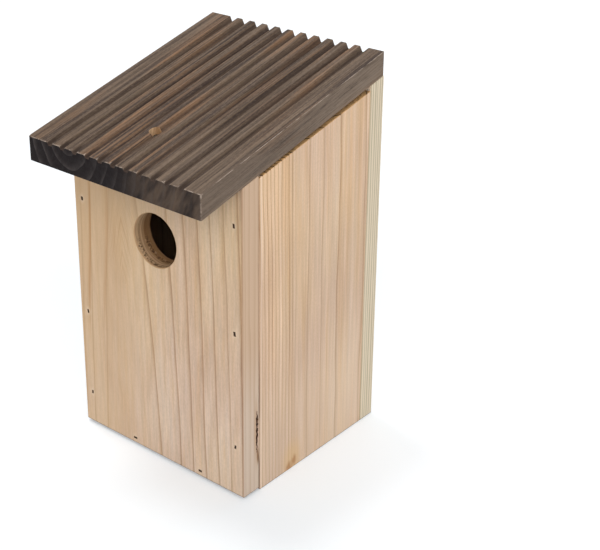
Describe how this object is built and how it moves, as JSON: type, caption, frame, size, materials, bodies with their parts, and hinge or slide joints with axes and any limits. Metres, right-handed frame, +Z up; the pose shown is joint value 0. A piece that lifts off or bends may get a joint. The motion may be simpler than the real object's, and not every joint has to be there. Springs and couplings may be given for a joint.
{
  "type": "bird nest box",
  "caption": "Wooden nest box with a round entrance hole and a sloping grooved roof that hinges at the back on webbing and is held shut by a screw.",
  "frame": {"origin": "centre of the body's rectangular footprint, on the ground plane under the floor panel", "axes": "+Z up, the entrance hole faces -Y, +X to the right as seen from the front"},
  "size_m": [0.1402, 0.1696, 0.2567],
  "materials": {
    "front_wood": "planed, unfinished",
    "back_wood": "planed, unfinished",
    "side_wood": "planed, unfinished",
    "roof_wood": "dark brown stain, matt",
    "webbing": "woven",
    "staple_wire": "galvanised",
    "plate_steel": "zinc plated, dull",
    "yellow_zinc": "yellow zinc plated",
    "dark_steel": "dark"
  },
  "bodies": {
    "box": {"front_panel": "front_wood", "back_panel": "back_wood", "left_side_panel": "side_wood", "right_side_panel": "side_wood", "floor_panel": "side_wood", "hinge_strap": "webbing", "back_staples": "staple_wire", "hanger_plate": "plate_steel", "hanger_screws": "yellow_zinc", "front_left_brads": "dark_steel", "front_right_brads": "dark_steel", "front_floor_brads": "dark_steel", "back_left_brads": "dark_steel", "back_right_brads": "dark_steel", "back_floor_brads": "dark_steel"},
    "roof": {"roof_board": "roof_wood", "roof_staples": "staple_wire"},
    "screw": {"roof_screw": "dark_steel"}
  },
  "joints": [
    {"name": "roof_hinge", "type": "hinge", "parent": "box", "child": "roof", "pos_m": [0, 0.068, 0.24127], "axis": [-1, 0, 0], "range_deg": [0, 170], "deforming": ["hinge_strap"]},
    {"name": "screw_withdrawal", "type": "slide", "parent": "roof", "child": "screw", "axis": [0, -0.2385, 0.9711], "range_m": [0, 0.03]}
  ]
}
